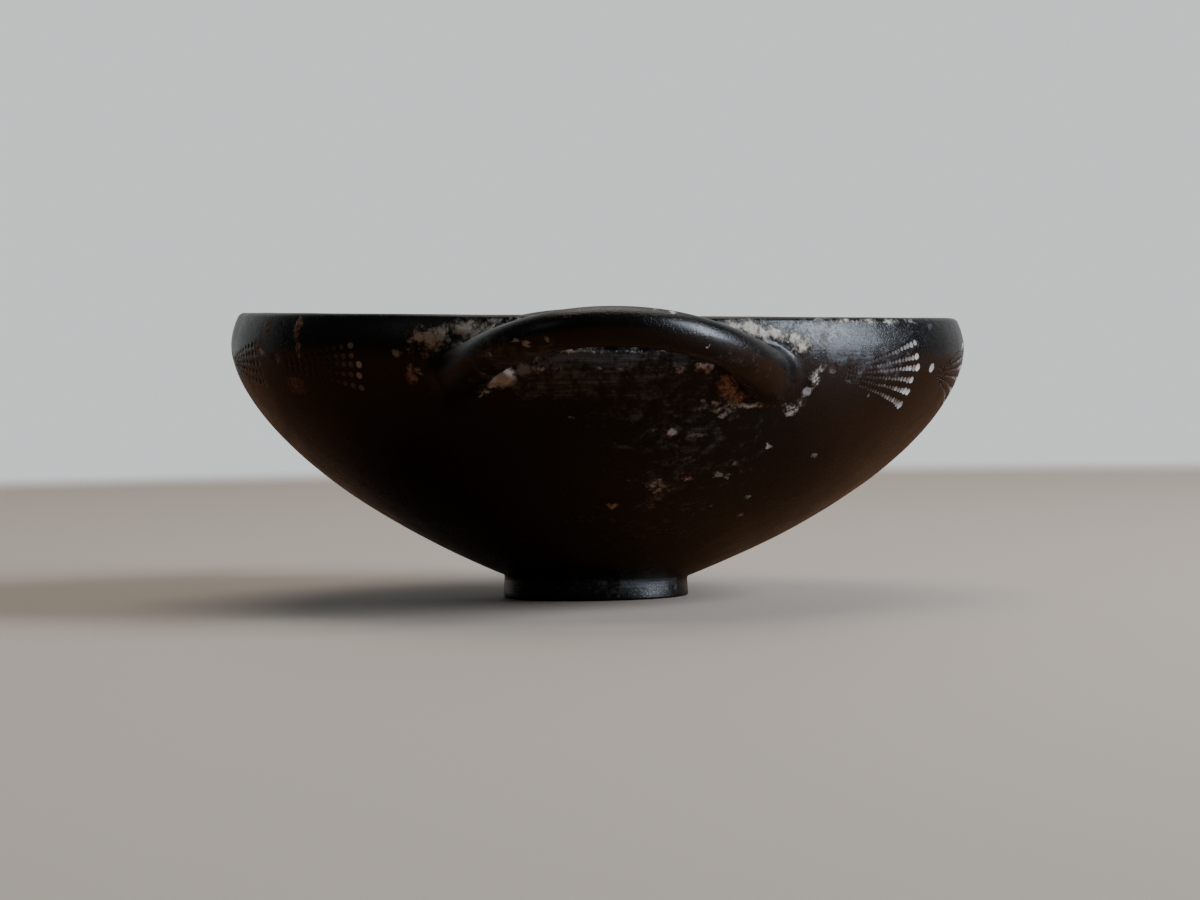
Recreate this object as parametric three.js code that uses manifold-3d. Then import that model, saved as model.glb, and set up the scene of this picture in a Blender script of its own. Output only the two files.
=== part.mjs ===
// A low drinking cup of burnished black clay: a wide bowl on a ring foot, with two loop handles
// set level below the rim. It was thrown, handled and fired as one piece, so it is one solid.
// Millimetres, +Z up. It stands on z = 0, with its handles along -Y and +Y.
import * as THREE from "three";
import { mergeVertices } from "three/addons/utils/BufferGeometryUtils.js";
import Module from "manifold-3d";

// The bowl, measured square to its own axis.
const rimHeight = 53.7; // table to the top of the lip, at the axis
const swellRadius = 70; // outside, at its widest
const swellBelowRim = 6;
const wall = 3.6;
const lipThickness = 2.9;
const lipInset = 1.1; // the lip's outer side, in from the widest circle
const lipTurnDeg = 25; // how far the band above the swell leans in where the lip begins
const bodySlopeDeg = 22.5; // the body's slope where it leaves the foot
const bellyFullness = 0.8; // share of the way out at which the body stops spreading evenly
const swellFullness = 0.18; // share of the body's height that turns upright at the swell

// The ring foot.
const footHeight = 4.2; // table to where the body begins
const footRadius = 17.7; // outside, on the table
const footWaistRadius = 17.5;
const footFillet = 0.7; // the corner between foot and body
const footEdgeHeight = 0.6; // the ring's upright outer edge, before it draws in to the waist
const ringWidth = 3.9; // the ring that bears on the table
const recessDepth = 2;
const recessFillet = 0.8;
const floorThickness = 3.8; // the bowl's floor over the recess

// The bowl was set a little out of true on its foot, so its rim is lower towards +X.
const leanDeg = 1.3;

// The handles: round rods bent to a bow and luted to the wall.
const rodHeight = 6.9; // at the middle of the bow
const rodWidth = 7.6;
const rootThickening = 3.6; // added to both by the time the rod meets the wall
const smearWidth = 1; // clay smeared round the joint, beyond the rod
const smearFrom = 0.86; // shares of the way from the bow's middle to the root
const smearTo = 0.97;
const rootHalfSpan = 27.1; // between the middle of the bow and each root
const rootBelowRim = 10.6; // the rod's middle where it meets the wall
const bowBelowRim = 1.9; // the rod's middle at the middle of the bow
const handleReach = 28; // from the swell out to the bow's outer side
const rootRiseDeg = 4; // the rod's rise where it leaves the wall
const rootPull = 13; // how far it holds that direction
const bowPull = 18; // half the length over which the bow is nearly straight
const bowShift = 1.6; // the bow's middle sits this far towards -X of the roots' middle

// Facets.
const turnSegments = 64;
const bodySteps = 14;
const insideSteps = 10;
const bandSteps = 3;
const lipSteps = 6;
const floorSteps = 4;
const rodSides = 14;
const rodSteps = 28;
const filletSteps = 2;

const cutAllowance = 0.5; // how far a cut solid runs on past the face it is cut at
const mergeDistance = 1e-4;
const bisections = 40;

const radians = THREE.MathUtils.degToRad;
const wasm = await Module();
wasm.setup();

// A closed geometry as a manifold solid.
function solidOf(geometry) {
  const bare = geometry.clone();
  bare.deleteAttribute("normal");
  bare.deleteAttribute("uv");
  const merged = mergeVertices(bare, mergeDistance);
  return new wasm.Manifold(
    new wasm.Mesh({
      numProp: 3,
      vertProperties: merged.attributes.position.array,
      triVerts: new Uint32Array(merged.index.array),
    }),
  );
}

function meshOf(solid, name, material) {
  const { numProp, numVert, vertProperties, triVerts } = solid.getMesh();
  const positions = new Float32Array(numVert * 3);
  for (let i = 0; i < numVert; i++)
    positions.set(vertProperties.subarray(i * numProp, i * numProp + 3), i * 3);
  const geometry = new THREE.BufferGeometry();
  geometry.setAttribute("position", new THREE.BufferAttribute(positions, 3));
  geometry.setIndex(new THREE.BufferAttribute(triVerts, 1));
  geometry.computeVertexNormals();
  const mesh = new THREE.Mesh(geometry, material);
  mesh.name = name;
  return mesh;
}

// Turns an outline of (radius, height) points round the Z axis. The outline starts and ends on the axis.
function turned(outline) {
  return solidOf(new THREE.LatheGeometry(outline, turnSegments).rotateX(Math.PI / 2));
}

// The body's outside, from the foot up to the swell.
const bodyStart = new THREE.Vector2(footWaistRadius + footFillet, footHeight);
const swell = new THREE.Vector2(swellRadius, rimHeight - swellBelowRim);
const bodySpread = bellyFullness * (swell.x - bodyStart.x);
const bodyCurve = new THREE.CubicBezierCurve(
  bodyStart,
  new THREE.Vector2(
    bodyStart.x + bodySpread,
    bodyStart.y + bodySpread * Math.tan(radians(bodySlopeDeg)),
  ),
  new THREE.Vector2(swell.x, swell.y - swellFullness * (swell.y - bodyStart.y)),
  swell,
);

// The lip is a round bead; the band between it and the swell leans in to meet it.
const lipRound = lipThickness / 2;
const lipCentre = new THREE.Vector2(swellRadius - lipInset - lipRound, rimHeight - lipRound);
const lipStart = new THREE.Vector2(
  lipCentre.x + lipRound * Math.cos(radians(lipTurnDeg)),
  lipCentre.y + lipRound * Math.sin(radians(lipTurnDeg)),
);
const bandPull = (lipStart.y - swell.y) / 3;
const bandCurve = new THREE.CubicBezierCurve(
  swell,
  new THREE.Vector2(swell.x, swell.y + bandPull),
  new THREE.Vector2(
    lipStart.x + bandPull * Math.sin(radians(lipTurnDeg)),
    lipStart.y - bandPull * Math.cos(radians(lipTurnDeg)),
  ),
  lipStart,
);

// Points of a curve, each moved to its left by an offset: the wall's inside runs along its outside.
function offsetPoints(curve, count, offset) {
  const points = [];
  for (let i = 0; i <= count; i++) {
    const tangent = curve.getTangent(i / count);
    const normal = new THREE.Vector2(-tangent.y, tangent.x);
    points.push(curve.getPoint(i / count).addScaledVector(normal, offset));
  }
  return points;
}

function arcPoints(centre, radius, fromDeg, toDeg, count) {
  const points = [];
  for (let i = 0; i <= count; i++) {
    const angle = radians(THREE.MathUtils.lerp(fromDeg, toDeg, i / count));
    points.push(
      new THREE.Vector2(
        centre.x + radius * Math.cos(angle),
        centre.y + radius * Math.sin(angle),
      ),
    );
  }
  return points;
}

// The ring foot reaches below the table by this much until it is cut level.
const footAllowance = footRadius * Math.tan(radians(leanDeg)) + cutAllowance;

function footPoints() {
  const recessRadius = footRadius - ringWidth;
  return [
    new THREE.Vector2(0, recessDepth),
    new THREE.Vector2(recessRadius - recessFillet, recessDepth),
    new THREE.Vector2(recessRadius, recessDepth - recessFillet),
    new THREE.Vector2(recessRadius, -footAllowance),
    new THREE.Vector2(footRadius, -footAllowance),
    new THREE.Vector2(footRadius, footEdgeHeight),
    new THREE.Vector2(footWaistRadius, footHeight - 2 * footFillet),
    ...arcPoints(
      new THREE.Vector2(footWaistRadius + footFillet, footHeight - footFillet),
      footFillet,
      180,
      90,
      filletSteps,
    ).slice(0, -1),
  ];
}

// The bowl's floor, from the wall's inside in to the axis.
function floorPointsFrom(floorEdge) {
  const floorHeight = recessDepth + floorThickness;
  const slope = Math.tan(radians(bodySlopeDeg));
  const floorBend = floorEdge.x - Math.max(0, floorEdge.y - floorHeight) / slope;
  return new THREE.CubicBezierCurve(
    floorEdge,
    new THREE.Vector2(floorBend, floorHeight),
    new THREE.Vector2(floorBend / 2, floorHeight),
    new THREE.Vector2(0, floorHeight),
  ).getPoints(floorSteps);
}

// The bowl's whole outline: the foot, up the outside, over the lip and down the inside to the floor.
function bowlOutline() {
  const inside = offsetPoints(bodyCurve, insideSteps, wall).reverse();
  return [
    ...footPoints(),
    ...bodyCurve.getPoints(bodySteps),
    ...bandCurve.getPoints(bandSteps).slice(1),
    ...arcPoints(lipCentre, lipRound, lipTurnDeg, 180, lipSteps).slice(1),
    ...inside.slice(0, -1),
    ...floorPointsFrom(inside.at(-1)),
  ];
}

// What the wall's middle encloses: it trims the handles' ends inside the wall.
function coreOutline() {
  const middle = offsetPoints(bodyCurve, insideSteps, wall / 2);
  const top = rimHeight + cutAllowance;
  return [
    new THREE.Vector2(0, middle[0].y),
    ...middle,
    lipCentre,
    new THREE.Vector2(lipCentre.x, top),
    new THREE.Vector2(0, top),
  ];
}

// The radius of the body's outside at a height.
function bodyRadiusAt(height) {
  let low = 0;
  let high = 1;
  for (let i = 0; i < bisections; i++) {
    const middle = (low + high) / 2;
    if (bodyCurve.getPoint(middle).y < height) low = middle;
    else high = middle;
  }
  return bodyCurve.getPoint(low).x;
}

// The rod is made this much too long at each root, and is trimmed inside the wall.
const rootDepth = wall + rodHeight / 2;

// One handle's centre line, on the -Y side, from its -X root round the bow to its +X root.
function handlePath() {
  const rootHeight = rimHeight - rootBelowRim;
  const bowHeight = rimHeight - bowBelowRim;
  const rootOut = Math.sqrt(bodyRadiusAt(rootHeight) ** 2 - rootHalfSpan ** 2);
  const bowOut = swellRadius + handleReach - rodWidth / 2;
  const rise = radians(rootRiseDeg);
  const bow = new THREE.Vector3(-bowShift, -bowOut, bowHeight);
  const path = new THREE.CurvePath();
  for (const side of [-1, 1]) {
    const root = new THREE.Vector3(side * rootHalfSpan, -rootOut, rootHeight);
    const leave = new THREE.Vector3(0, -Math.cos(rise), Math.sin(rise));
    root.addScaledVector(leave, -rootDepth);
    const ends = [
      root,
      root.clone().addScaledVector(leave, rootDepth + rootPull),
      bow.clone().add(new THREE.Vector3(side * bowPull, 0, 0)),
      bow,
    ];
    if (side > 0) ends.reverse();
    path.add(new THREE.CubicBezierCurve3(...ends));
  }
  return path;
}

// A round rod along the handle's centre line, thicker at its roots: a cylinder with each ring of
// its vertices carried to its place on the path.
function handleSolid() {
  const path = handlePath();
  const rod = new THREE.CylinderGeometry(1, 1, 1, rodSides, rodSteps);
  const positions = rod.attributes.position;
  const up = new THREE.Vector3(0, 0, 1);
  for (let i = 0; i < positions.count; i++) {
    const along = positions.getY(i) + 0.5;
    const fromBow = Math.abs(2 * along - 1);
    const smear = smearWidth * THREE.MathUtils.smoothstep(fromBow, smearFrom, smearTo);
    const swelling = rootThickening * fromBow ** 3 + smear;
    const point = path.getPointAt(along);
    const tangent = path.getTangentAt(along);
    const side = new THREE.Vector3().crossVectors(tangent, up).normalize();
    const lift = new THREE.Vector3().crossVectors(side, tangent);
    point.addScaledVector(side, (positions.getX(i) * (rodWidth + swelling)) / 2);
    point.addScaledVector(lift, (positions.getZ(i) * (rodHeight + swelling)) / 2);
    positions.setXYZ(i, point.x, point.y, point.z);
  }
  return solidOf(rod);
}

// Everything below the table, as a block to cut the foot level with.
function belowTable() {
  const depth = 4 * footAllowance;
  const block = new THREE.BoxGeometry(4 * footRadius, 4 * footRadius, depth);
  return solidOf(block.translate(0, 0, -depth / 2));
}

function cupSolid() {
  const handle = handleSolid().subtract(turned(coreOutline()));
  const cup = turned(bowlOutline())
    .add(handle)
    .add(handle.rotate([0, 0, 180]))
    .rotate([0, leanDeg, 0])
    .subtract(belowTable());
  const { min, max } = cup.boundingBox();
  return cup.translate([-(min[0] + max[0]) / 2, -(min[1] + max[1]) / 2, 0]);
}

const blackClay = new THREE.MeshStandardMaterial({
  color: 0x1a1512,
  roughness: 0.32,
  metalness: 0,
});

const kylix = new THREE.Group();
kylix.add(meshOf(cupSolid(), "kylix", blackClay));

export default kylix;
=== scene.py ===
import bisect
import math
import random

import bmesh
import bpy
from mathutils import Matrix, Vector, noise
from mathutils.geometry import interpolate_bezier
from mathutils.kdtree import KDTree


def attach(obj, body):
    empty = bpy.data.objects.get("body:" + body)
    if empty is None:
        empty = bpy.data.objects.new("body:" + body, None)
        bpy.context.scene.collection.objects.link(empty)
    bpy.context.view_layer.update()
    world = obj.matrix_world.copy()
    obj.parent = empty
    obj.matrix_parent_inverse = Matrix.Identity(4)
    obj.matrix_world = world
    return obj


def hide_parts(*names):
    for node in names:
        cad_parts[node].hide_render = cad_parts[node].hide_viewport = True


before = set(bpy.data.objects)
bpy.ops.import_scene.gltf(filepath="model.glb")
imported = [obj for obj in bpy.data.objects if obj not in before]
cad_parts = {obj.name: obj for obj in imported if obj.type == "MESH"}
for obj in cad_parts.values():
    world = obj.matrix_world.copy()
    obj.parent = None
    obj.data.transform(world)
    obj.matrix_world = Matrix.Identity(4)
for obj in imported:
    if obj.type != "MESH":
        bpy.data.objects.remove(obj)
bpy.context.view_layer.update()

# The bowl and its ring foot.
# Fine clay, thrown on the wheel and turned when leather hard, so both are one outline turned round an
# axis. The whole cup was fired as one piece, and it stays one mesh here.
mm = 0.001
rim_height = 53.7 * mm
swell_radius = 70 * mm
swell_below_rim = 6 * mm
wall = 3.6 * mm
lip_thickness = 2.9 * mm
lip_inset = 1.1 * mm
lip_turn = math.radians(25)
body_slope = math.radians(22.5)
belly_fullness = 0.8
swell_fullness = 0.18
foot_height = 4.2 * mm
foot_radius = 17.7 * mm
foot_waist_radius = 17.5 * mm
foot_fillet = 0.7 * mm
foot_edge_height = 0.6 * mm
foot_edge_round = 0.35 * mm
ring_width = 3.9 * mm
recess_depth = 2 * mm
recess_fillet = 0.8 * mm
floor_thickness = 3.8 * mm

columns = 288
column_angle = math.tau / columns
fine_row = 1.2 * mm
plain_row = 2.2 * mm
round_row = 0.35 * mm
curve_detail = 240
merged_within = 0.01 * mm


def at(radius, height):
    """A point of the outline, in the plane that is turned."""
    return Vector((radius, 0, height))


def evenly(points, step):
    """The same line with its points an even step apart, about as long as asked."""
    travelled = [0.0]
    for a, b in zip(points, points[1:]):
        travelled.append(travelled[-1] + (b - a).length)
    count = max(1, round(travelled[-1] / step))
    spaced = []
    for i in range(count + 1):
        distance = travelled[-1] * i / count
        k = min(max(bisect.bisect_right(travelled, distance), 1), len(points) - 1)
        share = (distance - travelled[k - 1]) / (travelled[k] - travelled[k - 1])
        spaced.append(points[k - 1].lerp(points[k], share))
    return spaced


def curve(start, pull_start, pull_end, end, step):
    """A smooth curve that leaves its start and meets its end towards two pulling points."""
    return evenly(interpolate_bezier(start, pull_start, pull_end, end, curve_detail), step)


def arc(centre, radius, from_deg, to_deg, step=round_row):
    """A round stretch of the outline."""
    turn = math.radians(to_deg - from_deg)
    count = max(2, round(abs(turn) * radius / step))
    angles = [math.radians(from_deg) + turn * i / count for i in range(count + 1)]
    return [centre + at(radius * math.cos(a), radius * math.sin(a)) for a in angles]


body_start = at(foot_waist_radius + foot_fillet, foot_height)
swell = at(swell_radius, rim_height - swell_below_rim)
body_spread = belly_fullness * (swell.x - body_start.x)
body_ends = (
    body_start,
    body_start + at(body_spread, body_spread * math.tan(body_slope)),
    swell - at(0, swell_fullness * (swell.z - body_start.z)),
    swell,
)
lip_round = lip_thickness / 2
lip_centre = at(swell_radius - lip_inset - lip_round, rim_height - lip_round)
lip_start = lip_centre + at(lip_round * math.cos(lip_turn), lip_round * math.sin(lip_turn))
band_pull = (lip_start.z - swell.z) / 3
band_ends = (
    swell,
    swell + at(0, band_pull),
    lip_start + at(band_pull * math.sin(lip_turn), -band_pull * math.cos(lip_turn)),
    lip_start,
)
inside = []
body_line = curve(*body_ends, plain_row)
for below, here, above in zip(body_line[:1] + body_line, body_line, body_line[1:] + body_line[-1:]):
    along = (above - below).normalized()
    inside.append(here + wall * at(-along.z, along.x))
floor_height = recess_depth + floor_thickness
floor_bend = inside[0].x - max(0, inside[0].z - floor_height) / math.tan(body_slope)
recess_radius = foot_radius - ring_width
edge = foot_edge_round
outside_line = curve(*body_ends, fine_row) + curve(*band_ends, fine_row)[1:]
outline_parts = [
    evenly([at(0, recess_depth), at(recess_radius - recess_fillet, recess_depth)], plain_row),
    arc(at(recess_radius - recess_fillet, recess_depth - recess_fillet), recess_fillet, 90, 0),
    arc(at(recess_radius + edge, edge), edge, 180, 270),
    evenly([at(recess_radius + edge, 0), at(foot_radius - edge, 0)], fine_row),
    arc(at(foot_radius - edge, edge), edge, 270, 360),
    evenly(
        [at(foot_radius, foot_edge_height), at(foot_waist_radius, foot_height - foot_fillet)],
        fine_row / 2,
    ),
    arc(at(foot_waist_radius + foot_fillet, foot_height - foot_fillet), foot_fillet, 180, 90),
    outside_line,
    arc(lip_centre, lip_round, math.degrees(lip_turn), 180),
    evenly([lip_centre - at(lip_round, 0), inside[-1]], fine_row),
    inside[::-1],
    curve(
        inside[0],
        at(floor_bend, floor_height),
        at(floor_bend / 2, floor_height),
        at(0, floor_height),
        plain_row,
    ),
]

cup = bmesh.new()
outline = [cup.verts.new(point) for part in outline_parts for point in part]
outline_edges = [cup.edges.new(pair) for pair in zip(outline, outline[1:])]
bmesh.ops.spin(
    cup,
    geom=outline + outline_edges,
    cent=(0, 0, 0),
    axis=(0, 0, 1),
    angle=math.tau,
    steps=columns,
    use_merge=True,
)
bmesh.ops.remove_doubles(cup, verts=cup.verts, dist=merged_within)
bmesh.ops.recalc_face_normals(cup, faces=cup.faces)

outside_heights = [point.z for point in outside_line]


def wall_radius(height):
    """The radius of the wall's outside at a height above the foot."""
    k = min(max(bisect.bisect_right(outside_heights, height), 1), len(outside_line) - 1)
    low, high = outside_line[k - 1], outside_line[k]
    return low.lerp(high, (height - low.z) / (high.z - low.z)).x


def on_wall(angle, height):
    """The point of the wall's outside at an angle counted from -Y towards +X."""
    radius = wall_radius(height)
    return Vector((radius * math.sin(angle), -radius * math.cos(angle), height))


def angle_of(point):
    """A point's angle round the cup, counted from -Y towards +X."""
    return math.atan2(point.x, -point.y)


def beyond_wall(point):
    """How far a point stands out from the wall's outside."""
    return math.hypot(point.x, point.y) - wall_radius(point.z)


def settle_on_wall(verts):
    """Moves vertices onto the wall's outside at their own height and angle."""
    for v in verts:
        v.co = on_wall(angle_of(v.co), v.co.z)


def outside_faces(low, high):
    """The faces of the wall's outside between two heights."""
    found = []
    for face in cup.faces:
        middle = face.calc_center_median()
        if low < middle.z < high and abs(beyond_wall(middle)) < wall / 2:
            found.append(face)
    return found


# The two handles.
# Round rods of the same clay, bent to a bow and luted to the wall while both were wet, with the joint
# smeared smooth. Each half is drawn out of a hole in the wall's outside, and the halves meet at the bow.
rod_height = 6.9 * mm
rod_width = 7.6 * mm
root_thickening = 3.6 * mm
root_half_span = 27.1 * mm
root_below_rim = 10.6 * mm
bow_below_rim = 1.9 * mm
handle_reach = 28 * mm
root_rise = math.radians(4)
root_pull = 13 * mm
bow_pull = 18 * mm
bow_shift = 1.6 * mm
root_depth = wall + rod_height / 2
joint_fillet = 2.4 * mm
dragged_side = -1
drag = 1.0
drag_towards = math.radians(-40)
rod_step = 0.9 * mm
exit_step = 0.1 * mm
fillet_rings = 4
skewed_rings = 8
joint_columns = 12
joint_half_height = 8 * mm
smoothed_reach = 15 * mm
smoothing_rounds = 12

root_height = rim_height - root_below_rim
root_out = math.sqrt(wall_radius(root_height) ** 2 - root_half_span**2)
root_angle = math.atan2(root_half_span, root_out)
bow_out = swell_radius + handle_reach - rod_width / 2


class HalfRod:
    """Half a handle, on the -Y side: its centre line from inside the wall at one root to the bow."""

    def __init__(self, side):
        self.side = side
        leave = Vector((0, -math.cos(root_rise), math.sin(root_rise)))
        root = Vector((side * root_half_span, -root_out, root_height))
        bow = Vector((-bow_shift, -bow_out, rim_height - bow_below_rim))
        self.line = curve(
            root - leave * root_depth,
            root + leave * root_pull,
            bow + Vector((side * bow_pull, 0, 0)),
            bow,
            rod_step,
        )
        self.step = (self.line[1] - self.line[0]).length
        self.length = self.step * (len(self.line) - 1)

    def point(self, distance, turn):
        """A point of the rod's surface. A turn of 0 is its outer side, and a quarter turn its top."""
        place = min(max(distance / self.step, 0), len(self.line) - 1)
        k = min(int(place), len(self.line) - 2)
        centre = self.line[k].lerp(self.line[k + 1], place - k)
        before = self.line[max(k - 1, 0)]
        after = self.line[min(k + 2, len(self.line) - 1)]
        along = (after - before).normalized()
        if k >= len(self.line) - 3:
            along = Vector((-self.side, 0, 0))
        outward = along.cross(Vector((0, 0, 1))).normalized()
        up = outward.cross(along)
        swelling = root_thickening * (1 - distance / self.length) ** 3
        return (
            centre
            - outward * self.side * math.cos(turn) * (rod_width + swelling) / 2
            + up * math.sin(turn) * (rod_height + swelling) / 2
        )

    def exit(self, turn):
        """How far along the rod its surface comes out of the wall."""
        distance = self.length / 2
        while distance > 0 and beyond_wall(self.point(distance, turn)) > 0:
            distance -= exit_step
        return distance


def fillet(side, turn):
    """How far the smeared joint reaches. At one root it was dragged out and down."""
    dragged = max(0, math.cos(turn - drag_towards)) if side == dragged_side else 0
    return joint_fillet * (1 + drag * dragged)


def ring_around(faces):
    """Deletes a block of faces and gives the corners around the hole."""
    rim = [e for e in {e for f in faces for e in f.edges} if sum(f in faces for f in e.link_faces) == 1]
    corners = {v for e in rim for v in e.verts}
    bmesh.ops.delete(cup, geom=list(faces), context="FACES")
    return corners


def draw_out(loop, places):
    """Extrudes a loop of vertices once, to the places given."""
    edges = [cup.edges.get((a, b)) for a, b in zip(loop, loop[1:] + loop[:1])]
    made = bmesh.ops.extrude_edge_only(cup, edges=edges)["geom"]
    fresh = {v for v in made if isinstance(v, bmesh.types.BMVert)}
    drawn = [next(e.other_vert(v) for e in v.link_edges if e.other_vert(v) in fresh) for v in loop]
    for v, place in zip(drawn, places):
        v.co = place
    return drawn


def draw_half_handle(side, half_turn):
    """Opens the wall at one root and draws half a handle out of it. Gives the last ring."""
    rod = HalfRod(side)
    back = half_turn.inverted()
    middle_angle = round(root_angle / column_angle) * column_angle * side
    block = set()
    for face in outside_faces(root_height - joint_half_height, root_height + joint_half_height):
        angle = angle_of(back @ face.calc_center_median())
        if abs(angle - middle_angle) < joint_columns * column_angle / 2:
            block.add(face)
    corners = ring_around(block)

    def turn_of(v):
        local = back @ v.co
        across = side * (angle_of(local) - middle_angle) * swell_radius
        return math.atan2(local.z - root_height, across)

    loop = sorted(corners, key=lambda v: (turn_of(v) + column_angle) % math.tau)
    turns = [math.tau * i / len(loop) for i in range(len(loop))]
    exits = [rod.exit(turn) for turn in turns]
    crossings = [rod.point(d, turn) for d, turn in zip(exits, turns)]
    centre = sum(crossings, Vector()) / len(crossings)
    fillets = [fillet(side, turn) for turn in turns]
    feet = []
    for v, point, reach in zip(loop, crossings, fillets):
        across = (angle_of(point) - angle_of(centre)) * swell_radius
        rise = point.z - centre.z
        spread = reach / math.hypot(across, rise)
        foot = on_wall(angle_of(point) + across * spread / swell_radius, point.z + rise * spread)
        v.co = half_turn @ foot
        feet.append(foot)
    near = [
        v
        for v in cup.verts
        if (v.co - half_turn @ centre).length < smoothed_reach
        and v not in corners
        and abs(beyond_wall(v.co)) < wall / 2
        and v.co.z < lip_start.z - fine_row / 2
    ]
    every_way = {"use_axis_x": True, "use_axis_y": True, "use_axis_z": True}
    for _ in range(smoothing_rounds):
        bmesh.ops.smooth_vert(cup, verts=near, factor=0.5, **every_way)
        settle_on_wall(near)
    for i in range(1, fillet_rings + 1):
        b = i / fillet_rings
        places = []
        for foot, crossing, d, turn, reach in zip(feet, crossings, exits, turns, fillets):
            onto_rod = rod.point(d + reach, turn)
            place = (1 - b) ** 2 * foot + 2 * b * (1 - b) * crossing + b**2 * onto_rod
            places.append(half_turn @ place)
        loop = draw_out(loop, places)
    straight_from = max(d + reach for d, reach in zip(exits, fillets)) + skewed_rings * rod.step / 2
    for i in range(1, skewed_rings + 1):
        b = i / skewed_rings
        places = []
        for d, turn, reach in zip(exits, turns, fillets):
            distance = (1 - b) * (d + reach) + b * straight_from
            places.append(half_turn @ rod.point(distance, turn))
        loop = draw_out(loop, places)
    rings = round((rod.length - straight_from) / rod.step)
    for i in range(1, rings):
        distance = straight_from + (rod.length - straight_from) * i / rings
        loop = draw_out(loop, [half_turn @ rod.point(distance, turn) for turn in turns])
    return loop


for half_turn in (Matrix.Identity(4), Matrix.Rotation(math.pi, 4, "Z")):
    halves = [draw_half_handle(side, half_turn) for side in (-1, 1)]
    last_edges = [cup.edges.get((a, b)) for loop in halves for a, b in zip(loop, loop[1:] + loop[:1])]
    bmesh.ops.bridge_loops(cup, edges=last_edges)
bmesh.ops.recalc_face_normals(cup, faces=cup.faces)

# The punched fans.
# Four on each side between the handles: rows of dots pricked with a toothed comb before firing, each fan
# spreading from one larger dot. They are real pits. Pale lime has filled them, least on the left side.
fan_pitch = math.radians(25)
fans_a_side = 4
fan_length = 24.6 * mm
first_dot = 4 * mm
first_prick = 0.9 * mm
first_prick_rise = 1 * mm
faintest_fill = 0.15
least_fill = 0.04
large_dot = 0.74 * mm
dot_growth = 4
dot_room = 1.4
ray_wobble = math.radians(0.6)
dot_wobble = 0.07 * mm
fill_range = (0.6, 1.1)
size_range = (0.85, 1.08)
gap_range = (0.8, 1.2)
combs = {
    "right": {
        "first angle": math.radians(34.6),
        "height": 43.5 * mm,
        "rays": 6,
        "spread": math.radians(27),
        "small dot": 0.26 * mm,
        "gap": 0.5 * mm,
        "fill": 1,
        "fading": 2.6,
        "first prick's fill": 0.8,
    },
    "left": {
        "first angle": math.radians(-135.6),
        "height": 44.4 * mm,
        "rays": 5,
        "spread": math.radians(19),
        "small dot": 0.34 * mm,
        "gap": 1.3 * mm,
        "fill": 0.95,
        "fading": 5,
        "first prick's fill": 0.35,
    },
}
dot_depth = 0.22 * mm
dot_stretch = 1.15
pit_cuts = 3
unevenness = random.Random(7)

dots = []
for comb in combs.values():
    for fan in range(fans_a_side):
        fan_angle = comb["first angle"] + fan * fan_pitch
        kept = comb["first prick's fill"] if fan else faintest_fill
        dots.append((on_wall(fan_angle, comb["height"] + first_prick_rise), first_prick, kept))
        for ray in range(comb["rays"]):
            across = ray / (comb["rays"] - 1) - 0.5
            slope = comb["spread"] * across + unevenness.uniform(-ray_wobble, ray_wobble)
            reach = first_dot
            while reach < fan_length:
                share = reach / fan_length
                radius = comb["small dot"] + (large_dot - comb["small dot"]) * share**dot_growth
                height = comb["height"] + reach * math.sin(slope)
                height += unevenness.uniform(-dot_wobble, dot_wobble)
                angle = fan_angle + reach * math.cos(slope) / swell_radius
                fill = comb["fill"] * (least_fill + (1 - least_fill) * share ** comb["fading"])
                fill *= unevenness.uniform(*fill_range)
                dots.append((on_wall(angle, height), radius * unevenness.uniform(*size_range), fill))
                reach += dot_room * radius + comb["gap"] * unevenness.uniform(*gap_range)

dot_finder = KDTree(len(dots))
for i, (place, radius, fill) in enumerate(dots):
    dot_finder.insert(place, i)
dot_finder.balance()
fan_room = large_dot + fine_row / 2
fan_faces = [
    face
    for face in outside_faces(root_height - joint_half_height, lip_start.z)
    if dot_finder.find(face.calc_center_median())[2] < fan_room
]
fan_edges = list({e for face in fan_faces for e in face.edges})
bmesh.ops.subdivide_edges(cup, edges=fan_edges, cuts=pit_cuts, use_grid_fill=True)
fill_layer = cup.verts.layers.float.new("fill")
dot_map = cup.loops.layers.uv.new("nearest_dot")
pricked = outside_faces(root_height - 2 * joint_half_height, lip_start.z)
for face in pricked:
    place, i, distance = dot_finder.find(face.calc_center_median())
    if distance > 2 * fan_room:
        continue
    radius = dots[i][1]
    sideways = Vector((-place.y, place.x, 0)).normalized()
    for loop in face.loops:
        offset = on_wall(angle_of(loop.vert.co), loop.vert.co.z) - place
        loop[dot_map].uv = (offset.dot(sideways) / dot_stretch / radius, offset.z / radius)
for v in {v for face in pricked for v in face.verts}:
    place, i, distance = dot_finder.find(v.co)
    if distance > 2 * fan_room:
        continue
    settle_on_wall([v])
    if distance > fan_room:
        continue
    v[fill_layer] = dots[i][2]
    away = (v.co - place).length / dots[i][1]
    if away < 1:
        v.co -= dot_depth * (1 - away**2) * Vector((v.co.x, v.co.y, 0)).normalized()
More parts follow.
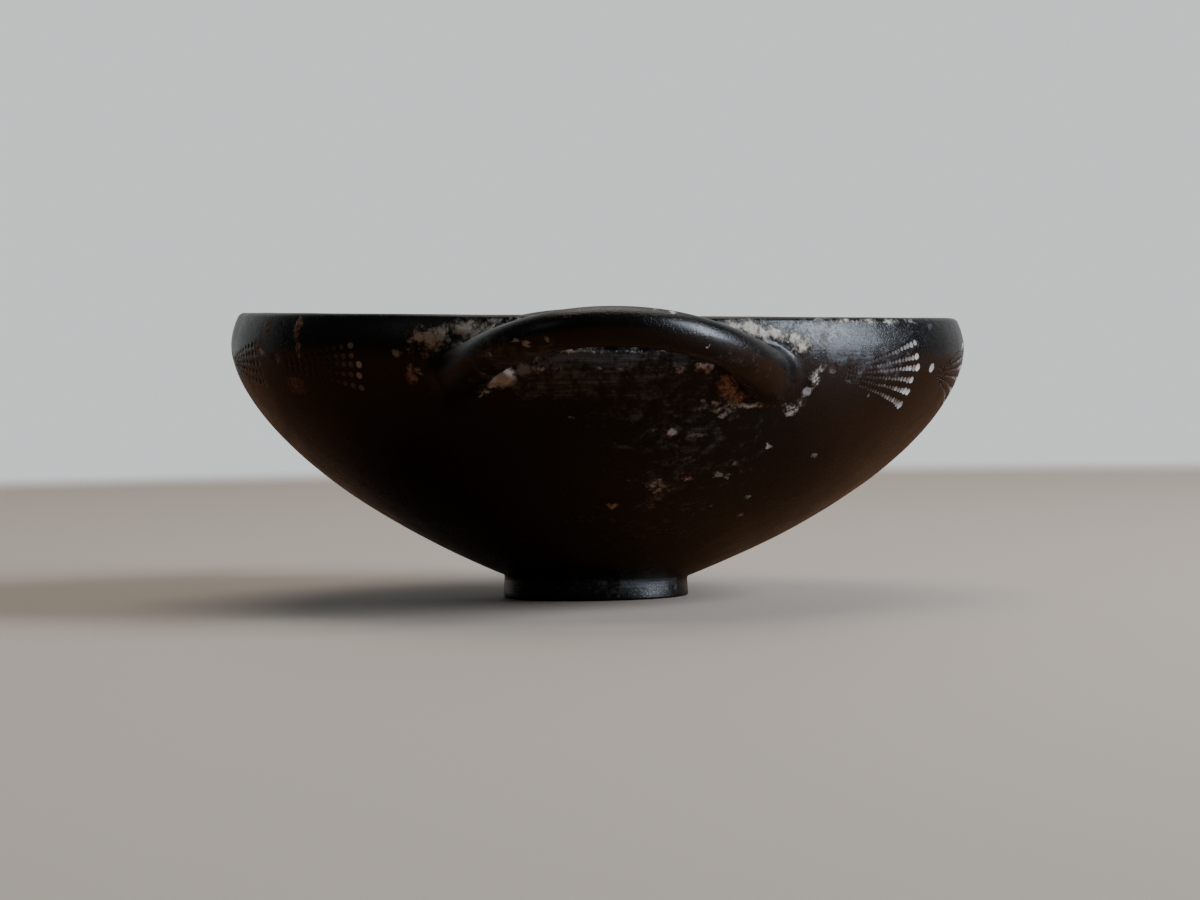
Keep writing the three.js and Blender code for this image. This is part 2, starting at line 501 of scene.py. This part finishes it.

# Lime and wear.
# Lime from the ground dried on the clay as a pale crust, thickest on the wall behind the handles,
# where nobody could rub it off, and as a thin grey film around it. The crust stands a little proud of
# the clay. On the foot and under the right lip the same grey is painted sheen, with a painted highlight
# on the foot right of its front.

# A place is an angle, a height in millimetres, half a width in degrees, half a height and a strength.
lime_places = {
    "over the left root": (-22, 50.2, 7, 2, 1),
    "left of the left root": (-29, 48.4, 3, 2.4, 0.9),
    "left of the left root, low": (-30.5, 43.5, 1.4, 2.2, 0.55),
    "under the left rim": (-16, 51.9, 7, 1.5, 0.72),
    "inside the left root": (-15.9, 43.2, 1.2, 1.5, 1.3),
    "inside the left root, low": (-19.6, 39.9, 2, 0.45, 0.8),
    "under the arch, left": (-12, 44.8, 3.5, 2, 0.55),
    "under the arch": (-2, 47.4, 14, 0.6, 0.62),
    "under the arch, streak": (0, 44, 11, 0.3, 0.55),
    "over the right root": (18.5, 52, 4, 1.1, 0.9),
    "over the right root, middle": (23, 50.8, 3.6, 1.4, 1.15),
    "over the right root, low end": (27.6, 48.8, 2.6, 1.5, 1.2),
    "beyond the right root": (34, 50, 3.5, 2.5, 0.45),
    "beside the right root": (31.8, 42.8, 1.4, 2.6, 0.85),
    "right root's low edge": (22.5, 37.8, 2.6, 0.4, 0.95),
    "under the right root": (16.5, 37.2, 4, 1.7, 0.64),
    "right of the right root, low": (29.5, 37.6, 2.4, 1.4, 0.66),
    "right rim": (42, 53, 16, 0.7, 0.72),
    "front, low": (9.5, 22.4, 2.6, 2.6, 0.62),
    "back, over one root": (157, 50.4, 6, 2.2, 1),
    "back, over the other root": (-158, 49.8, 7, 2.4, 0.85),
    "back, under the arch": (178, 47, 15, 1.2, 0.62),
}
# The film places are lime film, except on the foot, which is dust and painted grey sheen with a painted
# highlight right of its front, and under the right lip, which is painted sheen.
film_and_sheen_places = {
    "beyond the right root": (35, 50, 8, 3.4, 0.95),
    "round the right fan": (42, 45.5, 10, 3.5, 0.75),
    "over the left root": (-22, 49.8, 12, 3, 0.8),
    "under the arch": (-3, 46.3, 15, 1.8, 0.9),
    "behind the front handle": (0, 42.5, 17, 4, 0.62),
    "behind the front handle, left": (-10, 41, 8, 3.5, 0.45),
    "behind the back handle": (178, 46, 24, 5, 0.6),
    "front, right": (10, 35, 15, 6, 0.5),
    "front, low": (14, 26, 15, 7, 0.5),
    "front, lower": (6, 15, 24, 5, 0.36),
    # Painted sheen on the underside of the right lip.
    "right, under the lip, painted sheen": (52, 52.6, 16, 1.5, 0.6),
    # The foot's grey is dust and painted sheen, and right of its front a painted highlight.
    "foot": (5, 3, 70, 3, 0.75),
    "foot, right of the front, painted highlight": (35, 3.6, 18, 1.2, 0.9),
    "back, low": (195, 30, 25, 9, 0.45),
}
# Lumps of earth in the roots: an angle, a height, a width and a rise in millimetres.
lumps = {
    "inside the left root": (-16.4, 43.1, 1.9, 0.9),
    "inside the right root": (17.2, 41.2, 2.6, 1),
    "beside the right root": (31.3, 41.5, 1.5, 0.5),
}
crust_height = 0.22 * mm
crust_edge = 0.55
crust_steepness = 2.5
crumbliness = 0.9
crumb_noise = (0.6, 2.2, 4)
least_deposit = 0.3
wall_play = 0.2 * mm
handle_share = 0.3
crust_lump = 2.2 * mm
crust_cuts = 2
lump_steepness = 2
lump_unevenness = 0.5


def gather(places, angle, height):
    """How much of a deposit lies at a point of the wall. A place is an angle, a height, half a width in
    degrees, half a height, and a strength."""
    total = 0.0
    for place_angle, place_height, half_width, half_height, strength in places.values():
        turn = (math.degrees(angle) - place_angle + 180) % 360 - 180
        rise = height / mm - place_height
        total += strength * math.exp(-((turn / half_width) ** 2) - (rise / half_height) ** 2)
    return total


def crust_at(point):
    """The crust at a point: the deposit there, thinner on the handles, broken into crumbs."""
    deposit = gather(lime_places, angle_of(point), point.z)
    if beyond_wall(point) > joint_fillet:
        deposit *= handle_share
    return deposit * (1 + crumbliness * noise.fractal(point / crust_lump, *crumb_noise))


def lump_height(point):
    """How far the lumps of earth in the roots raise a point."""
    total = 0.0
    for angle, height, width, rise in lumps.values():
        away = (point - on_wall(math.radians(angle), height * mm)).length / (width * mm)
        uneven = 1 + lump_unevenness * noise.noise(point / crust_lump)
        total += rise * mm * math.exp(-(away**2) * lump_steepness) * uneven
    return total


def deposit_on(face):
    """The deposit at a face's middle."""
    middle = face.calc_center_median()
    return gather(lime_places, angle_of(middle), middle.z)


limed_faces = [
    face
    for face in outside_faces(root_height - 2 * joint_half_height, lip_start.z)
    if deposit_on(face) > least_deposit and face.calc_area() > fine_row**2 / 2
]
limed_edges = list({e for face in limed_faces for e in face.edges})
bmesh.ops.subdivide_edges(cup, edges=limed_edges, cuts=crust_cuts, use_grid_fill=True)
lime_layer = cup.verts.layers.float.new("lime")
film_and_sheen_layer = cup.verts.layers.float.new("film_and_sheen")
for v in cup.verts:
    # On the foot only the film is set: dust with painted sheen and a painted highlight.
    if v.co.z < foot_height:
        v[film_and_sheen_layer] = gather(film_and_sheen_places, angle_of(v.co), v.co.z)
        continue
    if beyond_wall(v.co) < -wall / 2:
        continue
    crust = crust_at(v.co)
    v[lime_layer] = crust
    v[film_and_sheen_layer] = gather(film_and_sheen_places, angle_of(v.co), v.co.z)
    if abs(beyond_wall(v.co)) < wall / 4 and v.co.z < lip_start.z - fine_row:
        if v[fill_layer] == 0 and beyond_wall(v.co) < wall_play:
            settle_on_wall([v])
        thick = min(max(crust - crust_edge, 0) * crust_steepness, 1)
        rise = crust_height * thick + lump_height(v.co)
        v.co += rise * Vector((v.co.x, v.co.y, 0)).normalized()

# The hand's unevenness, and the cup set on the table.
# Thrown and burnished by hand, no surface is quite true. The cup leans a little on its foot, and the
# foot was rubbed level, so its rim drops towards +X.
lean = math.radians(1.3)
foot_levelled = recess_depth - recess_fillet
wave = 17 * mm
wave_height = 0.12 * mm
dent = 5 * mm
dent_height = 0.025 * mm


def set_down(point):
    """Where a point of the bowl, measured square to its axis, comes to lie in the standing cup."""
    level = max(0, 1 - point.z / foot_levelled)
    return Vector(
        (
            point.x * math.cos(lean) + (point.z - swell.z) * math.sin(lean),
            point.y,
            point.z * math.cos(lean) - point.x * math.sin(lean) * (1 - level),
        )
    )


bmesh.ops.recalc_face_normals(cup, faces=cup.faces)
cup.normal_update()
normals = [v.normal.copy() for v in cup.verts]
for v, normal in zip(cup.verts, normals):
    by_hand = min(v.co.z / foot_height, 1)
    uneven = wave_height * noise.noise(v.co / wave) + dent_height * noise.noise(v.co / dent)
    v.co = set_down(v.co + normal * uneven * by_hand)
for face in cup.faces:
    face.smooth = True
clay_mesh = bpy.data.meshes.new("kylix_clay")
cup.to_mesh(clay_mesh)
cup.free()
kylix = bpy.data.objects.new("kylix_clay", clay_mesh)
bpy.context.scene.collection.objects.link(kylix)

# Burnished black clay.
# Iron-rich clay fired without air, so it is black right through, and rubbed with a smooth pebble
# before firing. That gives a dark satin gloss with faint level streaks, warm brown where some air got
# in. The lime and the beige and reddish earth stuck on it are dry and have no gloss.
clay = bpy.data.materials.new("burnished_black_clay")
clay.use_nodes = True
tree = clay.node_tree
shader = tree.nodes["Principled BSDF"]
shader.inputs["IOR"].default_value = 1.5
smooth = {"interpolation_type": "SMOOTHSTEP"}
coloured = {"data_type": "RGBA"}


def linear(colour, alpha=1):
    """An sRGB hex colour as linear values."""
    channels = [int(colour[i : i + 2], 16) / 255 for i in (1, 3, 5)]
    return [c / 12.92 if c <= 0.04045 else ((c + 0.055) / 1.055) ** 2.4 for c in channels] + [alpha]


def add(kind, inputs=(), out=0, **settings):
    """One output of a new node, made with its settings and a value or a link for each of its inputs."""
    made = tree.nodes.new("ShaderNode" + kind)
    for name, value in settings.items():
        setattr(made, name, value)
    for name, value in dict(inputs).items():
        if isinstance(value, bpy.types.NodeSocket):
            tree.links.new(value, made.inputs[name])
        else:
            made.inputs[name].default_value = value
    return made.outputs[out]


# Single marks, each an angle, a height, half a width and half a height in millimetres, and a strength.
# Those on the front handle have a distance across and a turn in place of the first two.
lime_marks = {
    "white dot": (9.4, 33, 0.85, 0.8, 1),
    "speck beside it": (6.2, 33.2, 0.4, 0.3, 0.5),
    "smear beside it": (13.8, 32.3, 2.2, 0.3, 0.22),
    "oval": (27.9, 30.4, 0.6, 0.9, 0.75),
    "oval under the root": (28.9, 36.1, 0.9, 0.6, 0.7),
    "patch beside the root": (30.6, 40.4, 0.9, 1.1, 0.6),
    "pair": (20.7, 25.1, 0.9, 0.55, 0.45),
    "pair's other": (22.9, 24.7, 0.6, 0.5, 0.35),
    "over the pair": (22.9, 27.3, 0.5, 0.4, 0.3),
    "patch on the wall": (-33.7, 46.7, 0.8, 0.8, 0.55),
    "left root's foot": (-25, 38.8, 0.55, 0.35, 0.6),
    "lump inside the left root": (-16.9, 42.6, 2.3, 1.9, 1),
    "lump's thin edge": (-13.6, 44, 1.5, 1.1, 0.4),
    "tail of the lump": (-18.6, 41, 1.4, 0.35, 0.7),
    "tail's end": (-20.6, 39.5, 0.8, 0.4, 0.7),
    "on the right root": (22.6, 38.7, 0.9, 0.6, 0.9),
    "arc round the right root": (20.8, 37.8, 1.9, 0.3, 0.6),
    "cluster": (13.4, 38.8, 0.5, 0.45, 0.5),
    "cluster's middle": (15.4, 38.3, 0.8, 0.5, 0.6),
    "cluster's low end": (17.2, 36, 0.9, 0.5, 0.5),
    "low speck": (31.4, 20.8, 0.7, 0.5, 0.35),
    "lower speck": (34.1, 17.2, 0.6, 0.4, 0.25),
    "speck by the fan": (39.6, 28.6, 0.7, 0.5, 0.3),
    "ring": (-6.9, 35.5, 0.45, 0.4, 0.3),
}
beige_marks = {
    "patch": (9.3, 22.9, 1.9, 1.6, 1),
    "patch's lower end": (10, 20.6, 1.7, 1.1, 0.9),
    "lower still": (8.2, 19.2, 1.8, 0.7, 0.7),
    "between": (11.9, 22, 1, 0.9, 0.6),
}
red_marks = {
    "reddish": (14.7, 24.3, 1, 0.8, 0.9),
    "pink": (0.8, 19.2, 1.1, 0.55, 1),
    "lump inside the right root": (16.8, 41.4, 2, 2.2, 1),
    "lump's lower end": (18.8, 39.4, 1.4, 1.2, 0.9),
    "over the lump": (13, 44.7, 1.9, 0.9, 0.9),
    "before the lump": (9.5, 44.2, 1, 0.5, 0.5),
    "streak under the left rim": (-54.6, 51.2, 1, 2.8, 1),
    "streak's lower end": (-54, 47.3, 0.7, 1.7, 0.8),
    "left rim": (-64, 51, 1.4, 2.6, 0.7),
    "left, on the swell": (-57, 40.5, 3, 1.7, 0.4),
    "left, by the fan": (-66.5, 47.5, 1.8, 2, 0.4),
    "left of the left root": (-31.5, 42.8, 1.1, 1.9, 0.7),
}
handle_marks = {
    "left": (-20.2, -0.35, 0.6, 0.5, 0.5),
    "left, ring": (-16.1, -0.2, 0.8, 0.35, 0.7),
    "left, ring's other side": (-14.6, -0.45, 0.9, 0.5, 0.7),
    "left, near the bow": (-12.1, -0.4, 0.4, 0.5, 0.5),
    "right, on top": (7, 1.1, 0.9, 0.5, 0.7),
    "right, beside it": (4.4, 1.15, 0.5, 0.4, 0.45),
    "right, low": (12.8, -0.5, 0.35, 0.3, 0.6),
}
wander_size = 1.1 * mm
wander_reach = 2.4 * mm
mark_outside = 1.3
mark_inside = 0.6
place = add("TexCoord", out="Object")
wander = add("TexNoise", {"Vector": place, "Scale": 1 / wander_size, "Detail": 4.0}, "Color")
wander = add("VectorMath", {0: wander, 1: (0.5, 0.5, 0.5)}, operation="SUBTRACT")
warped = add("VectorMath", {0: wander, 1: (wander_reach,) * 3, 2: place}, operation="MULTIPLY_ADD")


def on_handle(across, turn):
    """A point on the front handle, a distance across it and turned up from its outer side."""
    rod = HalfRod(1 if across > 0 else -1)
    outer_half = range(len(rod.line) // 2, len(rod.line))
    nearest = min(outer_half, key=lambda k: abs(rod.line[k].x - across))
    return rod.point(nearest * rod.step, turn)


def marks_mask(marks):
    """Each mark's strength inside it, with ragged edges, and nothing elsewhere."""
    mask = 0.0
    for centre, half_width, half_height, strength in marks:
        sharpness = Vector((1 / half_width, 1 / half_width, 1 / half_height)) / mm
        offset = -Vector(c * s for c, s in zip(set_down(centre), sharpness))
        scaled = add("VectorMath", {0: warped, 1: sharpness, 2: offset}, operation="MULTIPLY_ADD")
        away = add("VectorMath", {0: scaled}, "Value", operation="LENGTH")
        faded = {0: away, 1: mark_outside, 2: mark_inside, 4: strength}
        mask = add("Math", {0: mask, 1: add("MapRange", faded, **smooth)}, operation="MAXIMUM")
    return mask


def wall_marks(marks):
    """The marks with their places as points on the wall."""
    return [
        (on_wall(math.radians(angle), height * mm), *rest)
        for angle, height, *rest in marks.values()
    ]


# Patterns: the size of a lump in millimetres, how many times longer it is round the cup, detail and
# roughness. The pores of real clay are finer, and these are as coarse as they need to be to show.
patterns = {
    "fine": (0.8, 1, 4.0, 0.7),
    "crumbs": (2.4, 1, 5.0, 0.6),
    "rubbing": (6, 1, 4.0, 0.55),
    "clouds": (24, 1, 4.0, 0.55),
    "streaks": (0.5, 26, 3.0, 0.55),
    "broad streaks": (1.8, 16, 3.0, 0.55),
    "pores": (0.42, 1, 2.0, 0.55),
}
grain = {}
for shift, (name, (size, stretch, detail, rough)) in enumerate(patterns.items()):
    drawn_out = {"Vector": place, "Location": (shift,) * 3, "Scale": (1 / stretch, 1 / stretch, 1)}
    lumpiness = {"Scale": 1 / (size * mm), "Detail": detail, "Roughness": rough}
    grain[name] = add("TexNoise", {"Vector": add("Mapping", drawn_out), **lumpiness}, "Fac")
lime = add("Attribute", out="Fac", attribute_name="lime")
dust_and_sheen = add("Attribute", out="Fac", attribute_name="film_and_sheen")
fill = add("Attribute", out="Fac", attribute_name="fill")

# The clay itself, browner in broad clouds.
reddened = add("MapRange", {0: grain["clouds"], 1: 0.5, 2: 0.72}, **smooth)
colour = add("Mix", {0: reddened, 6: linear("#0a0807"), 7: linear("#1a0f07")}, 2, **coloured)

# The grey film, worn through in level streaks. On the foot and under the right lip the same grey is
# painted sheen, and right of the foot's front a painted highlight.
cloudy = add("Math", {0: grain["fine"], 1: 0.7, 2: grain["crumbs"]}, operation="MULTIPLY_ADD")
cloudy = add("Math", {0: cloudy, 1: 2.4, 2: dust_and_sheen}, operation="MULTIPLY_ADD")
film_and_sheen = add("MapRange", {0: cloudy, 1: 2.44, 2: 3.29}, **smooth)
near_film_and_sheen = add("MapRange", {0: dust_and_sheen, 1: 0.05, 2: 0.3}, **smooth)
film_and_sheen = add("Math", {0: film_and_sheen, 1: near_film_and_sheen}, operation="MULTIPLY")
worn = add("MapRange", {0: grain["streaks"], 1: 0.35, 2: 0.65, 3: 0.2, 4: 0.6}, **smooth)
film_and_sheen = add("Math", {0: film_and_sheen, 1: worn}, operation="MULTIPLY")
colour = add("Mix", {0: film_and_sheen, 6: colour, 7: linear("#7f878c")}, 2, **coloured)

# Dry deposits: the crust, the single marks, rare specks, and the lime in the dots.
crumbling = add("Math", {0: grain["crumbs"], 1: 1.3, 2: lime}, operation="MULTIPLY_ADD")
crumbling = add("Math", {0: grain["fine"], 1: 1.6, 2: crumbling}, operation="MULTIPLY_ADD")
crust_mask = add("MapRange", {0: crumbling, 1: 1.8, 2: 2.55}, **smooth)
near_lime = add("MapRange", {0: lime, 1: 0.1, 2: 0.4}, **smooth)
crust_mask = add("Math", {0: crust_mask, 1: near_lime}, operation="MULTIPLY")
thickness = add("Math", {0: lime, 1: 0.25, 2: grain["fine"]}, operation="MULTIPLY_ADD")
thickness = add("MapRange", {0: thickness, 1: 0.45, 2: 0.9}, **smooth)
lime_colour = add("Mix", {0: thickness, 6: linear("#51493f"), 7: linear("#e0d9c8")}, 2, **coloured)

rubble = add("Math", {0: grain["crumbs"], 1: grain["fine"]}, operation="ADD")
red_breaks = add("MapRange", {0: rubble, 1: 0.65, 2: 1.05}, **smooth)
red_places = marks_mask(wall_marks(red_marks))
red_spots = add("Math", {0: red_places, 1: red_breaks}, operation="MULTIPLY")
red_depth = add("MapRange", {0: grain["fine"], 1: 0.35, 2: 0.62}, **smooth)
red_colour = add("Mix", {0: red_depth, 6: linear("#552d1a"), 7: linear("#cbab93")}, 2, **coloured)
beige_breaks = add("MapRange", {0: rubble, 1: 0.85, 2: 1.15, 4: 0.7}, **smooth)
beige_places = marks_mask(wall_marks(beige_marks))
beige_spots = add("Math", {0: beige_places, 1: beige_breaks}, operation="MULTIPLY")
flecks = [
    (on_handle(across * mm, turn), *rest)
    for across, turn, *rest in handle_marks.values()
]
lime_breaks = add("MapRange", {0: grain["fine"], 1: 0.2, 2: 0.5, 3: 0.5}, **smooth)
lime_spots = marks_mask(wall_marks(lime_marks) + flecks)
lime_spots = add("Math", {0: lime_spots, 1: lime_breaks}, operation="MULTIPLY")

speck_apart = 2.6 * mm
speck_cells = {"Vector": place, "Scale": 1 / speck_apart}
cell = add("SeparateColor", {"Color": add("TexVoronoi", speck_cells, "Color")})
rare = add("MapRange", {0: cell, 1: 0.84, 2: 1.0}, **smooth)
speck_size = add("MapRange", {0: grain["crumbs"], 1: 0.42, 2: 0.7, 4: 0.24}, **smooth)
speck_size = add("Math", {0: rare, 1: speck_size}, operation="MULTIPLY")
from_speck = add("TexVoronoi", speck_cells, "Distance")
within = add("Math", {0: speck_size, 1: from_speck}, operation="SUBTRACT")
specks = add("MapRange", {0: within, 1: 0.0, 2: 0.06, 4: 0.55}, **smooth)

from_dot = add("VectorMath", {0: add("UVMap", uv_map="nearest_dot")}, "Value", operation="LENGTH")
from_dot = add("Math", {0: grain["fine"], 1: 0.5, 2: from_dot}, operation="MULTIPLY_ADD")
in_dot = add("MapRange", {0: from_dot, 1: 1.3, 2: 1.05}, **smooth)
filled = add("Math", {0: in_dot, 1: fill}, operation="MULTIPLY", use_clamp=True)
fill_colour = add("Mix", {0: fill, 6: linear("#8a6a50"), 7: linear("#d9d8d6")}, 2, **coloured)

dry = 0.0
for mask, dry_colour in (
    (red_spots, red_colour),
    (beige_spots, linear("#8f8068")),
    (specks, linear("#8d8578")),
    (crust_mask, lime_colour),
    (lime_spots, linear("#dfe0de")),
    (filled, fill_colour),
):
    colour = add("Mix", {0: mask, 6: colour, 7: dry_colour}, 2, **coloured)
    dry = add("Math", {0: dry, 1: mask}, operation="MAXIMUM")
tree.links.new(colour, shader.inputs["Base Color"])

# Gloss, duller under the film and the painted sheen, and none on the deposits.
gloss = add("MapRange", {0: grain["rubbing"], 1: 0.3, 2: 0.7, 3: 0.25, 4: 0.34}, **smooth)
gloss = add("Math", {0: film_and_sheen, 1: 0.33, 2: gloss}, operation="MULTIPLY_ADD")
tree.links.new(add("Mix", {0: dry, 2: gloss, 3: 0.9}), shader.inputs["Roughness"])

# Relief: the strokes of the pebble, the pores, the crumbs of the deposits and the pits of the dots.
relief_depth = 0.07 * mm
open_pores = add("MapRange", {0: grain["pores"], 1: 0.3, 2: 0.5}, **smooth)
crumbled = add("Math", {0: grain["fine"], 1: 0.6}, operation="ADD")
crumbled = add("Math", {0: dry, 1: crumbled}, operation="MULTIPLY")
punched = add("MapRange", {0: fill, 1: 0.0, 2: 0.05}, **smooth)
pits = add("Math", {0: in_dot, 1: punched}, operation="MULTIPLY")
relief = 0.0
for height, weight in (
    (grain["streaks"], 0.25),
    (grain["broad streaks"], 0.5),
    (grain["fine"], 0.3),
    (open_pores, 0.3),
    (crumbled, 1.0),
    (pits, -1.5),
):
    relief = add("Math", {0: height, 1: weight, 2: relief}, operation="MULTIPLY_ADD")
bumped = add("Bump", {"Height": relief, "Distance": relief_depth, "Strength": 1.0})
tree.links.new(bumped, shader.inputs["Normal"])
clay_mesh.materials.append(clay)

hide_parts("kylix")
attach(kylix, "root")

# The floor.
# A plain pale disc, whose edge fades out, so no hard line runs behind the cup. The camera sees it pale,
# and to every other ray it is brown, so the glossy clay shows a painted brown reflection. It is clear
# from below, so the foot can be seen.
floor_radius = 760 * mm
floor_fade = 170 * mm
floor_sides = 128

floor_shape = bmesh.new()
bmesh.ops.create_circle(floor_shape, cap_ends=True, radius=floor_radius, segments=floor_sides)
floor_mesh = bpy.data.meshes.new("floor")
floor_shape.to_mesh(floor_mesh)
floor_shape.free()
floor = bpy.data.objects.new("floor", floor_mesh)
bpy.context.scene.collection.objects.link(floor)
floor_paint = bpy.data.materials.new("pale_matt_floor")
floor_paint.use_nodes = True
tree = floor_paint.node_tree
paint = tree.nodes["Principled BSDF"]
paint.inputs["Roughness"].default_value = 0.6
seen = add("LightPath", out="Is Camera Ray")
# Pale to the camera, brown to other rays: a painted brown reflection in the clay.
pale_with_painted_reflection = add("Mix", {0: seen, 6: linear("#845730"), 7: linear("#e2d2c1")}, 2, **coloured)
tree.links.new(pale_with_painted_reflection, paint.inputs["Base Color"])
from_middle = add("VectorMath", {0: add("TexCoord", out="Object")}, "Value", operation="LENGTH")
solid = add("MapRange", {0: from_middle, 1: floor_radius, 2: floor_radius - floor_fade}, **smooth)
from_below = add("NewGeometry", out="Backfacing")
shown = add("Math", {0: solid, 1: from_below}, operation="SUBTRACT", use_clamp=True)
tree.links.new(shown, paint.inputs["Alpha"])
floor_mesh.materials.append(floor_paint)

# The light.
# A pale wall behind the cup, a dark room in front of it, and one tall cool window on the right. A weak
# light overhead lifts the top, and a very weak one the left. The camera sees the wall plain and even.
backdrop_strength = 1.22
wall_strength = 0.7
room_strength = 0.035
world = bpy.data.worlds.new("studio")
bpy.context.scene.world = world
world.use_nodes = True
tree = world.node_tree
background = tree.nodes["Background"]
background.inputs["Color"].default_value = linear("#d6d9da")
towards_wall = add("SeparateXYZ", {0: add("TexCoord", out="Generated")}, "Y")
lit = add("MapRange", {0: towards_wall, 1: 0.55, 2: 0.95, 3: room_strength, 4: wall_strength}, **smooth)
seen = add("LightPath", out="Is Camera Ray")
tree.links.new(add("Mix", {0: seen, 2: lit, 3: backdrop_strength}), background.inputs["Strength"])


def softbox(name, place, aim, width, height, power, colour):
    """A soft light of a size in metres and a power in watts, aimed at a point."""
    light = bpy.data.lights.new(name, "AREA")
    light.shape = "RECTANGLE"
    light.size = width
    light.size_y = height
    light.energy = power
    light.color = linear(colour)[:3]
    lamp = bpy.data.objects.new(name, light)
    lamp.location = place
    lamp.rotation_euler = (Vector(aim) - lamp.location).to_track_quat("-Z", "Y").to_euler()
    bpy.context.scene.collection.objects.link(lamp)


cup_middle = (0, 0, 0.03)
softbox("window", (1.0, -0.27, 0.49), cup_middle, 0.48, 0.8, 17, "#e6f0ff")
softbox("overhead", (0.1, 0.5, 1.3), cup_middle, 1.0, 1.0, 6, "#fff6ea")
softbox("left fill", (-0.9, -0.5, 0.7), cup_middle, 0.5, 0.5, 0.2, "#f2f4ff")

# The camera, level with the rim.
camera_distance = 850 * mm
camera_azimuth = math.radians(-2.8)
look_height = 27.9 * mm
look_right = 0.13 * mm
camera_roll = math.radians(-0.85)
lens = 133.05

camera_data = bpy.data.cameras.new("camera")
camera_data.lens = lens
camera_data.sensor_width = 36
camera_data.clip_start = 10 * mm
camera = bpy.data.objects.new("camera", camera_data)
camera.location = (
    camera_distance * math.sin(camera_azimuth),
    -camera_distance * math.cos(camera_azimuth),
    rim_height,
)
rightwards = Vector((math.cos(camera_azimuth), math.sin(camera_azimuth), 0))
look_at = look_right * rightwards + Vector((0, 0, look_height))
aim = (look_at - camera.location).to_track_quat("-Z", "Y").to_matrix()
camera.rotation_euler = (aim @ Matrix.Rotation(camera_roll, 3, "Z")).to_euler()
bpy.context.scene.collection.objects.link(camera)
bpy.context.scene.camera = camera
